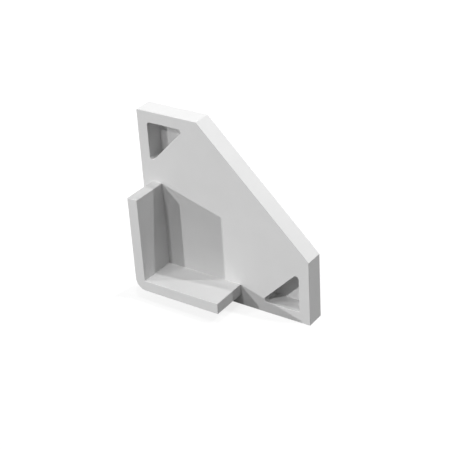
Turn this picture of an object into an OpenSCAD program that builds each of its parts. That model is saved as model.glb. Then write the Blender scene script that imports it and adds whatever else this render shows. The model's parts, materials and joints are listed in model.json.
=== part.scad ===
// Profile end cap: a flat plate with one corner cut away at 45 degrees, a blind triangular
// pocket in each of its two tips, and an L-shaped spigot that plugs into a hollow profile.
// Millimetres. X runs along the lower leg, Z up the other leg and Y away from the profile.
// The origin is the plate's square corner, on the seat face that meets the profile's cut end.

/* [Plate] */
// Length of each of the plate's two legs, along X and along Z
leg = 32.5; // [32:0.5:60]
// Thickness of the plate
plate_t = 3.5; // [2:0.1:6]
// Length of the short edge that stands at the end of each leg, beside the 45 degree cut
tip = 12; // [10:0.5:20]

/* [Pockets] */
// Width of the rim between a pocket and the plate's edges
rim = 2; // [1:0.1:2.5]
// Length of a pocket's two square sides, out to the sharp corners
pocket_leg = 7.5; // [5:0.1:8]
// Corner radius of a pocket
pocket_r = 0.5; // [0.2:0.05:0.9]
// Thickness of the skin that closes a pocket at the plate's outer face
skin_t = 0.3; // [0.2:0.1:1.5]

/* [Spigot] */
// Step from the plate's edges in to the spigot, where the profile's wall sits
step = 2; // [1:0.1:3]
// Wall thickness of the spigot
wall = 2; // [1.2:0.1:3.5]
// Depth that the spigot reaches into the profile
reach = 7; // [3:0.5:15]
// Length of the spigot's shelf along X, over the outer corner
shelf_len = 17; // [10:0.1:18]
// Length of the spigot's upright along Z, over the outer corner
upright_len = 17.6; // [10:0.1:18]
// Outer corner radius of the spigot
corner_r = 2; // [0.5:0.1:3]

/* [Hidden] */
$fn = 96;
// How far a cut runs past the face that it opens
over = 1;
pocket_depth = plate_t - skin_t;

// Extrudes an outline of the XZ plane from y0 to y1.
module along_y(y0, y1) {
  translate([0, y1, 0])
    rotate([90, 0, 0])
      linear_extrude(height = y1 - y0)
        children();
}

// Places a pocket's outline in both tips, its square corner outwards.
module at_tips() {
  translate([rim, leg - rim]) mirror([0, 1]) children();
  translate([leg - rim, rim]) mirror([1, 0]) children();
}

// Square plate with the corner opposite the origin cut at 45 degrees.
module plate_outline() {
  polygon([[0, 0], [leg, 0], [leg, tip], [tip, leg], [0, leg]]);
}

// Right-angled triangle with its square corner at the origin and all three corners rounded.
module pocket_outline() {
  // Distance from a sharp 45 degree corner to where its arc meets the side
  run = pocket_r / tan(22.5);
  // How far along each axis the slanted side's arcs reach from their centres
  slant = pocket_r / sqrt(2);
  far_centre = [pocket_leg - run, pocket_r];
  high_centre = [pocket_r, pocket_leg - run];
  polygon([
    [0, pocket_r],
    [pocket_r, 0],
    [pocket_leg - run, 0],
    far_centre + [slant, slant],
    high_centre + [slant, slant],
    [0, pocket_leg - run],
  ]);
  for (centre = [[pocket_r, pocket_r], far_centre, high_centre])
    translate(centre) circle(r = pocket_r);
}

// Two walls that meet in a sharp inner corner and a rounded outer one.
module spigot_outline() {
  difference() {
    translate([step, step]) {
      translate([corner_r, 0]) square([shelf_len - corner_r, upright_len]);
      translate([0, corner_r]) square([shelf_len, upright_len - corner_r]);
      translate([corner_r, corner_r]) circle(r = corner_r);
    }
    translate([step + wall, step + wall]) square([shelf_len, upright_len]);
  }
}

module end_cap() {
  color("gainsboro") {
    difference() {
      along_y(0, plate_t) plate_outline();
      along_y(-over, pocket_depth) at_tips() pocket_outline();
    }
    along_y(-reach, 0) spigot_outline();
  }
}

end_cap();
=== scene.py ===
"""The looks of a moulded profile end cap: a plate with one corner cut at 45 degrees, a blind
triangular pocket in each tip and an L-shaped spigot, with the softened edges, the small root
fillets and the finely textured matte finish of a real moulding. Lengths are in metres."""

import json
import math

import bpy
import numpy as np
from bpy.props import FloatProperty, FloatVectorProperty, PointerProperty
from mathutils import Matrix, Vector
from mathutils.geometry import tessellate_polygon


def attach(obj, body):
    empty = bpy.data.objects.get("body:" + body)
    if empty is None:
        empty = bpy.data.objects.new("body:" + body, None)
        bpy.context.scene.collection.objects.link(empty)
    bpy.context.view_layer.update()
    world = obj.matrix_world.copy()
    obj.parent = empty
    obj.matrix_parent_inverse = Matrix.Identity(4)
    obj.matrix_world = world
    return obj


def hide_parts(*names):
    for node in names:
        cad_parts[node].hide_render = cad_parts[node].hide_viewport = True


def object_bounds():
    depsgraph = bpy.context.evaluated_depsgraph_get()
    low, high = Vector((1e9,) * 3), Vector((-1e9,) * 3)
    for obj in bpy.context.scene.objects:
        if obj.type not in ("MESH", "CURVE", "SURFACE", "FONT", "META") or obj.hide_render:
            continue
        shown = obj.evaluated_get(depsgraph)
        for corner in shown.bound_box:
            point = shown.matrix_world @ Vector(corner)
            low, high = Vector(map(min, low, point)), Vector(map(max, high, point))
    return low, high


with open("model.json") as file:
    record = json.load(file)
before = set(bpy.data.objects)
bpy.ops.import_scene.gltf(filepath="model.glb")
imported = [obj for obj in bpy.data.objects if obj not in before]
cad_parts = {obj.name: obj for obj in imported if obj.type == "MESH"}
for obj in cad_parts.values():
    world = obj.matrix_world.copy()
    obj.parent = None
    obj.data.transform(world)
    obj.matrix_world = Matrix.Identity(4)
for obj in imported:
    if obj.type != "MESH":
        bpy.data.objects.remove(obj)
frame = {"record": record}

CAD_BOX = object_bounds()

bl_info = {
    "name": "Profile End Cap",
    "version": (1, 0, 0),
    "blender": (4, 5, 0),
    "location": "3D View > Sidebar > End Cap",
    "description": "Models a moulded end cap for a corner profile and lights it in a plain studio",
    "category": "Add Mesh",
}

MM = 0.001
NODE = "end_cap"
SLOT = "moulded_plastic"
# Straight pieces that stand for the arc at one corner
ARC_STEPS = 10


def mount(name):
    """The position of one of the record's mounts."""
    return Vector(next(m["pos_m"] for m in frame["record"]["mounts"] if m["name"] == name))


def length(name, description, default):
    """A length that a user may change."""
    return FloatProperty(
        name=name, description=description, default=default, subtype="DISTANCE", unit="LENGTH", precision=5
    )


def share(name, description, default):
    """A share from none to all, or a strength on that scale."""
    return FloatProperty(
        name=name, description=description, default=default, subtype="FACTOR", min=0, max=1
    )


def colour(name, description, level):
    """A colour that a user may change, at first a grey of one level."""
    return FloatVectorProperty(
        name=name, description=description, default=[level] * 3, subtype="COLOR", min=0, max=1
    )


def turn(name, description, degrees):
    """An angle that a user may change."""
    return FloatProperty(
        name=name, description=description, default=math.radians(degrees), subtype="ANGLE"
    )


class MouldingSettings(bpy.types.PropertyGroup):
    """Sizes and finish of the moulding"""

    leg: length("Leg", "Length of each of the plate's two legs", CAD_BOX[1].x)
    thickness: length("Thickness", "Thickness of the plate", CAD_BOX[1].y)
    reach: length("Reach", "How far the spigot stands out of the seat face", -CAD_BOX[0].y)
    step: length("Step", "Step from the plate's edges in to the spigot", mount("spigot_side").x)
    tip: length("Tip", "Short edge beside the 45 degree cut", 12 * MM)
    wall: length("Wall", "Wall thickness of the spigot", 2 * MM)
    shelf: length("Shelf", "Length of the spigot's shelf over its outer corner", 17 * MM)
    upright: length("Upright", "Length of the spigot's upright over its outer corner", 17.6 * MM)
    spigot_corner: length("Spigot corner", "Radius of the spigot's outer corner", 2 * MM)
    rim: length("Rim", "Width of the rim between a pocket and the plate's edges", 2 * MM)
    pocket: length("Pocket", "Length of a pocket's square sides, out to the sharp corners", 7.5 * MM)
    pocket_corner: length("Pocket corner", "Corner radius of a pocket", 0.5 * MM)
    pocket_depth: length("Pocket depth", "Depth of a pocket below the seat face", 3.2 * MM)
    edge: length("Edge", "Radius of the moulding's outer edges", 0.07 * MM)
    root: length("Root", "Radius of the fillet where the spigot meets the seat face", 0.05 * MM)
    corner: length("Corner", "Radius of all sharp outline corners, a little more than an edge's", 0.1 * MM)
    colour: colour("Colour", "Colour of the plastic", 0.59)
    roughness: share("Roughness", "Roughness of the plastic's surface", 0.6)
    grain: length("Grain", "Size of the grains that the mould leaves on the surface", 0.15 * MM)
    relief: length("Relief", "Height of the grains that the mould leaves on the surface", 0.02 * MM)
    cloud: length("Cloud", "Size of the faint clouds in the colour and the shine", 4.5 * MM)
    cloud_tint: share("Cloud tint", "How far the clouds change the colour, as a share of it", 0.015)
    cloud_shine: share("Cloud shine", "How far the clouds change the roughness", 0.04)


class StageSettings(bpy.types.PropertyGroup):
    """The camera's place and the colours of the studio"""

    aim: FloatVectorProperty(
        name="Aim",
        description="Point that the camera looks at",
        default=(16.557 * MM, 0, 14.843 * MM),
        subtype="TRANSLATION",
        unit="LENGTH",
        precision=5,
    )
    distance: length("Distance", "Distance of the camera from the point that it looks at", 198.287 * MM)
    azimuth: turn("Azimuth", "Turn of the camera to the right", 35.77)
    elevation: turn("Elevation", "Height of the camera as an angle", 29.077)
    roll: turn("Roll", "Turn of the camera about its own view", -3.735)
    lens: FloatProperty(
        name="Lens", description="Focal length in millimetres", default=95.84, subtype="DISTANCE_CAMERA"
    )
    background: colour("Background", "Colour of the background and of the floor as they are seen", 1)
    bounce: colour("Bounce", "Colour of the light that the floor throws back on the object", 0.1)
    shade: share("Shade", "How much of the floor's look the object's shadow can darken", 0.2)
    room: share("Room light", "Strength of the even light from all round", 0.15)
    softness: turn("Softness", "Width of each lamp's disc, which softens its shadows", 1)


def rounded(points, radii, closed=True):
    """Runs a line through the points with an arc at each corner.

    Where the line bends by an angle t, its arc of radius r starts r * tan(t / 2) before the
    corner. The normal turns evenly from the first side's to the second's, and each point is the
    arc's centre plus r times that normal, or minus it where the line bends right. Returns the
    points and the normals on the line's right, which is the outside of an anticlockwise outline.
    """
    corners = np.array(points, float)
    radii = np.broadcast_to(radii, len(corners))
    leaving = np.roll(corners, -1, axis=0) - corners
    coming = np.roll(leaving, 1, axis=0)
    if not closed:
        leaving[-1] = coming[-1]
        coming[0] = leaving[0]
    cross = coming[:, 0] * leaving[:, 1] - coming[:, 1] * leaving[:, 0]
    bend = np.arctan2(cross, (coming * leaving).sum(axis=1))
    coming = coming / np.linalg.norm(coming, axis=1, keepdims=True)
    normal = np.stack([coming[:, 1], -coming[:, 0]], axis=1)
    signed = (np.sign(bend) * radii)[:, None]
    start = corners - coming * (radii * np.tan(abs(bend) / 2))[:, None]
    centre = start - normal * signed
    first_angle = np.arctan2(normal[:, 1], normal[:, 0])
    angle = first_angle[:, None] + bend[:, None] * np.linspace(0, 1, ARC_STEPS + 1)
    around = np.stack([np.cos(angle), np.sin(angle)], axis=2)
    line = (centre[:, None] + signed[:, None] * around).reshape(-1, 2)
    around = around.reshape(-1, 2)
    # An open line doesn't bend at its two ends, so each keeps one point of its arc
    kept = slice(None) if closed else slice(ARC_STEPS, -ARC_STEPS)
    return line[kept], around[kept]


class Skin:
    """A closed surface that is put together from bands and flat faces with shared rings of points."""

    def __init__(self):
        self.points = np.empty((0, 3))
        self.normals = np.empty((0, 3))
        self.faces = []

    def band(self, outline, profile):
        """Carries a profile round a closed outline of the XZ plane, and returns its two end rings.

        A point is the outline's point, moved out along the outline's normal by the profile's
        first coordinate, with the profile's second coordinate as Y. The normal is mixed alike.
        """
        (along, outward), (across, turned) = outline, profile
        flat = along[None] + across[:, :1, None] * outward[None]
        level = np.broadcast_to(across[:, 1:], flat.shape[:2])
        lean = turned[:, :1, None] * outward[None]
        rise = np.broadcast_to(turned[:, 1:], lean.shape[:2])
        index = np.arange(level.size).reshape(level.shape) + len(self.points)
        points = np.stack([flat[..., 0], level, flat[..., 1]], axis=2).reshape(-1, 3)
        normals = np.stack([lean[..., 0], rise, lean[..., 1]], axis=2).reshape(-1, 3)
        self.points = np.vstack([self.points, points])
        self.normals = np.vstack([self.normals, normals])
        here, there = index[:-1], index[1:]
        quads = np.stack([here, there, np.roll(there, -1, axis=1), np.roll(here, -1, axis=1)], axis=2)
        self.faces += quads.reshape(-1, 4).tolist()
        return index[0], index[-1]

    def fill(self, *rings):
        """Fills a ring of points with triangles that leave out the rings inside it."""
        index = np.concatenate(rings)
        lines = [[Vector((x, z, 0)) for x, y, z in self.points[ring]] for ring in rings]
        triangles = index[np.array(tessellate_polygon(lines))]
        a, b, c = self.points[triangles].transpose(1, 0, 2)
        inward = (np.cross(b - a, c - a) * self.normals[triangles[:, 0]]).sum(axis=1) < 0
        triangles[inward] = triangles[inward, ::-1]
        self.faces += triangles.tolist()

    def to_object(self, name):
        """Makes the mesh, with each point's own normal, and its object."""
        mesh = bpy.data.meshes.new(name)
        mesh.from_pydata(self.points.tolist(), [], self.faces)
        mesh.shade_smooth()
        mesh.normals_split_custom_set_from_vertices(self.normals.tolist())
        piece = bpy.data.objects.new(name, mesh)
        bpy.context.scene.collection.objects.link(piece)
        return piece


def plate_outline(size):
    """A square with the corner opposite the origin cut at 45 degrees."""
    leg, tip = size.leg, size.tip
    return rounded([(0, 0), (leg, 0), (leg, tip), (tip, leg), (0, leg)], size.corner)


def spigot_outline(size):
    """Two walls that meet in a sharp inner corner and a rounded outer one."""
    outer = size.step
    inner = outer + size.wall
    shelf_end = outer + size.shelf
    upright_end = outer + size.upright
    points = [
        (outer, outer),
        (shelf_end, outer),
        (shelf_end, inner),
        (inner, inner),
        (inner, upright_end),
        (outer, upright_end),
    ]
    return rounded(points, [size.spigot_corner] + [size.corner] * 5)


def pocket_outlines(size):
    """A right-angled triangle in each tip, its square corner in the plate's corner."""
    near, far = size.rim, size.leg - size.rim
    upper = [(near, far), (near, far - size.pocket), (near + size.pocket, far)]
    lower = [(far, near), (far, near + size.pocket), (far - size.pocket, near)]
    return [rounded(points, size.pocket_corner) for points in (upper, lower)]


def moulding_skin(size):
    """The whole moulding: rim, spigot and pockets as bands, and the flat faces between them."""
    skin = Skin()
    edge, root = size.edge, size.root
    # Each profile starts and ends on a flat face, this many radii from the corner that it rounds
    run = 1.2
    rim_corners = [(-run * edge, 0), (0, 0), (0, size.thickness), (-run * edge, size.thickness)]
    spigot_corners = [(-run * edge, -size.reach), (0, -size.reach), (0, 0), (run * root, 0)]
    pocket_corners = [(-run * root, size.pocket_depth), (0, size.pocket_depth), (0, 0), (run * edge, 0)]
    rim = rounded(rim_corners, edge, closed=False)
    spigot = rounded(spigot_corners, [edge, edge, root, root], closed=False)
    pocket = rounded(pocket_corners, [root, root, edge, edge], closed=False)
    seat, outer_face = skin.band(plate_outline(size), rim)
    end_face, spigot_root = skin.band(spigot_outline(size), spigot)
    holes = [spigot_root]
    for outline in pocket_outlines(size):
        floor, mouth = skin.band(outline, pocket)
        skin.fill(floor)
        holes.append(mouth)
    skin.fill(seat, *holes)
    skin.fill(outer_face)
    skin.fill(end_face)
    return skin


class Shader:
    """Adds nodes to a material or world, one call for each, and joins them."""

    def __init__(self, tree):
        self.nodes = tree.nodes
        self.links = tree.links
        self.nodes.clear()

    def add(self, kind, settings=None, **inputs):
        """One node. An input is a value or another node's output, under the socket's own name
        with _ for each space."""
        node = self.nodes.new(kind)
        for name, value in (settings or {}).items():
            setattr(node, name, value)
        for name, value in inputs.items():
            socket = node.inputs[name.replace("_", " ")]
            if isinstance(value, bpy.types.NodeSocket):
                self.links.new(value, socket)
            else:
                socket.default_value = value
        return node


def plastic(size):
    """Pale grey plastic off a spark-eroded mould: fine rounded grains, with a faint cloudiness in
    the colour and in the shine. Both patterns are noise on the object's own coordinates."""
    # How many times each noise is overlaid with itself at half the size
    cloud_layers, grain_layers = 3, 2
    # Noise is seldom below the first of these levels or above the second
    thin, thick = 0.3, 0.7
    material = bpy.data.materials.new(SLOT)
    material.use_nodes = True
    shader = Shader(material.node_tree)
    place = shader.add("ShaderNodeTexCoord").outputs["Object"]
    cloud, grains = (
        shader.add("ShaderNodeTexNoise", Vector=place, Scale=1 / width, Detail=layers).outputs["Fac"]
        for width, layers in ((size.cloud, cloud_layers), (size.grain, grain_layers))
    )
    tint = shader.add("ShaderNodeValToRGB", Fac=cloud)
    changes = (1 - size.cloud_tint, 1 + size.cloud_tint)
    for stop, level, change in zip(tint.color_ramp.elements, (thin, thick), changes):
        stop.position = level
        stop.color = [channel * change for channel in size.colour] + [1]
    shine = shader.add(
        "ShaderNodeMapRange",
        Value=cloud,
        From_Min=thin,
        From_Max=thick,
        To_Min=size.roughness - size.cloud_shine,
        To_Max=size.roughness + size.cloud_shine,
    )
    bump = shader.add("ShaderNodeBump", Distance=size.relief, Height=grains)
    surface = shader.add(
        "ShaderNodeBsdfPrincipled",
        Base_Color=tint.outputs["Color"],
        Roughness=shine.outputs["Result"],
        Normal=bump.outputs["Normal"],
    )
    shader.add("ShaderNodeOutputMaterial", Surface=surface.outputs["BSDF"])
    return material


class ENDCAP_OT_moulding(bpy.types.Operator):
    """Models the end cap's moulding in place of its construction solid"""

    bl_idname = "end_cap.moulding"
    bl_label = "Moulding"

    def execute(self, context):
        size = context.scene.end_cap_moulding
        piece = moulding_skin(size).to_object("moulding")
        piece.data.materials.append(plastic(size))
        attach(piece, "root")
        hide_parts(NODE)
        return {"FINISHED"}


# Where each lamp stands, as its azimuth and elevation in degrees, and how strong it is on a surface
# that faces it, as a share of the plain level at which a colour renders as it is written
LAMPS = {
    "left": (-59.5, 14.5, 0.66),
    "front": (-26, 22.5, 0.34),
    "high_front": (-6, 39, 0.2),
    "overhead": (46, 81, 0.25),
    "right": (106, 55, 0.3),
    "behind": (170, 28, 1.03),
}
# Wide enough to fill every view that looks down on it
FLOOR_HALF_WIDTH = 3.0
# The part's lowest face would flicker with a floor at its own level
FLOOR_GAP = 0.02 * MM
# The nearest and the furthest that the camera sees, as shares of its distance from the aim
NEAREST, FURTHEST = 0.01, 100


def towards(azimuth, elevation):
    """The direction from the object to a camera or a lamp that stands at these angles."""
    level = math.cos(elevation)
    return Vector((math.sin(azimuth) * level, -math.cos(azimuth) * level, math.sin(elevation)))


def either(shader, first, second):
    """The larger of two outputs, which is 1 where one of two yes-or-no outputs is 1."""
    node = shader.add("ShaderNodeMath", {"operation": "MAXIMUM"})
    shader.links.new(first, node.inputs[0])
    shader.links.new(second, node.inputs[1])
    return node.outputs[0]


def mixed(shader, share_of_second, first, second):
    """A mix of two shaders."""
    node = shader.add("ShaderNodeMixShader", Fac=share_of_second)
    shader.links.new(first, node.inputs[1])
    shader.links.new(second, node.inputs[2])
    return node.outputs[0]


def seen_by_eye(shader, lighting, look):
    """Shows the look to the camera, to reflections and through clear material, and lets the
    other shader light the object."""
    path = shader.add("ShaderNodeLightPath").outputs
    direct = either(shader, path["Is Camera Ray"], path["Is Glossy Ray"])
    return mixed(shader, either(shader, direct, path["Is Transmission Ray"]), lighting, look)


def floor_material(stage):
    """A pale floor that glows as bright as the background, apart from the object's shadow."""
    material = bpy.data.materials.new("floor")
    material.use_nodes = True
    shader = Shader(material.node_tree)
    white = [*stage.background, 1]
    bounce = shader.add("ShaderNodeBsdfDiffuse", Color=[*stage.bounce, 1]).outputs[0]
    glow = shader.add("ShaderNodeEmission", Color=white).outputs[0]
    matte = shader.add("ShaderNodeBsdfDiffuse", Color=white).outputs[0]
    surface = seen_by_eye(shader, bounce, mixed(shader, stage.shade, glow, matte))
    shader.add("ShaderNodeOutputMaterial", Surface=surface)
    return material


def make_floor(stage):
    """A wide flat floor, a hair below the lowest point of the part."""
    half = FLOOR_HALF_WIDTH
    level = CAD_BOX[0].z - FLOOR_GAP
    mesh = bpy.data.meshes.new("floor")
    corners = [(-half, -half, level), (half, -half, level), (half, half, level), (-half, half, level)]
    mesh.from_pydata(corners, [], [(0, 1, 2, 3)])
    mesh.materials.append(floor_material(stage))
    floor = bpy.data.objects.new("floor", mesh)
    bpy.context.scene.collection.objects.link(floor)


def light_room(stage):
    """An even white room that looks like the background and gives a little soft light."""
    world = bpy.data.worlds.new("room")
    bpy.context.scene.world = world
    world.use_nodes = True
    shader = Shader(world.node_tree)
    white = [*stage.background, 1]
    lighting = shader.add("ShaderNodeBackground", Color=white, Strength=stage.room).outputs[0]
    look = shader.add("ShaderNodeBackground", Color=white).outputs[0]
    shader.add("ShaderNodeOutputWorld", Surface=seen_by_eye(shader, lighting, look))


def add_lamp(name, azimuth, elevation, strength, softness):
    """A sun lamp. At a strength of 1 a matte surface that faces it looks as its colour is written."""
    data = bpy.data.lights.new(name, "SUN")
    data.energy = math.pi * strength
    data.angle = softness
    lamp = bpy.data.objects.new(name, data)
    away = towards(math.radians(azimuth), math.radians(elevation))
    lamp.rotation_euler = away.to_track_quat("Z", "Y").to_euler()
    bpy.context.scene.collection.objects.link(lamp)


def add_camera(stage):
    """Puts the camera round the aim by azimuth and elevation, and turns it about its view."""
    back = towards(stage.azimuth, stage.elevation)
    level_right = Vector((math.cos(stage.azimuth), math.sin(stage.azimuth), 0))
    level_up = back.cross(level_right)
    right = level_right * math.cos(stage.roll) + level_up * math.sin(stage.roll)
    up = back.cross(right)
    data = bpy.data.cameras.new("camera")
    data.lens = stage.lens
    data.clip_start = stage.distance * NEAREST
    data.clip_end = stage.distance * FURTHEST
    camera = bpy.data.objects.new("camera", data)
    camera.matrix_world = Matrix.Translation(Vector(stage.aim) + back * stage.distance) @ (
        Matrix((right, up, back)).transposed().to_4x4()
    )
    bpy.context.scene.collection.objects.link(camera)
    bpy.context.scene.camera = camera


class ENDCAP_OT_stage(bpy.types.Operator):
    """Sets up the floor, the studio light and the camera"""

    bl_idname = "end_cap.stage"
    bl_label = "Stage"

    def execute(self, context):
        stage = context.scene.end_cap_stage
        make_floor(stage)
        light_room(stage)
        for name, (azimuth, elevation, strength) in LAMPS.items():
            add_lamp(name, azimuth, elevation, strength, stage.softness)
        add_camera(stage)
        context.scene.view_settings.view_transform = "Standard"
        return {"FINISHED"}


class ENDCAP_PT_sidebar(bpy.types.Panel):
    """Lists the end cap's operators and their settings"""

    bl_label = "End Cap"
    bl_idname = "ENDCAP_PT_sidebar"
    bl_space_type = "VIEW_3D"
    bl_region_type = "UI"
    bl_category = "End Cap"

    def draw(self, context):
        for settings, operator in (
            (context.scene.end_cap_moulding, ENDCAP_OT_moulding),
            (context.scene.end_cap_stage, ENDCAP_OT_stage),
        ):
            column = self.layout.column(align=True)
            for name in settings.bl_rna.properties.keys():
                if name not in ("rna_type", "name"):
                    column.prop(settings, name)
            column.operator(operator.bl_idname)


CLASSES = (
    MouldingSettings,
    StageSettings,
    ENDCAP_OT_moulding,
    ENDCAP_OT_stage,
    ENDCAP_PT_sidebar,
)


def register():
    for cls in CLASSES:
        bpy.utils.register_class(cls)
    bpy.types.Scene.end_cap_moulding = PointerProperty(type=MouldingSettings)
    bpy.types.Scene.end_cap_stage = PointerProperty(type=StageSettings)


def unregister():
    del bpy.types.Scene.end_cap_stage
    del bpy.types.Scene.end_cap_moulding
    for cls in reversed(CLASSES):
        bpy.utils.unregister_class(cls)


def main():
    """Makes the moulding and the stage."""
    register()
    bpy.ops.end_cap.moulding()
    bpy.ops.end_cap.stage()


if __name__ == "__main__":
    main()
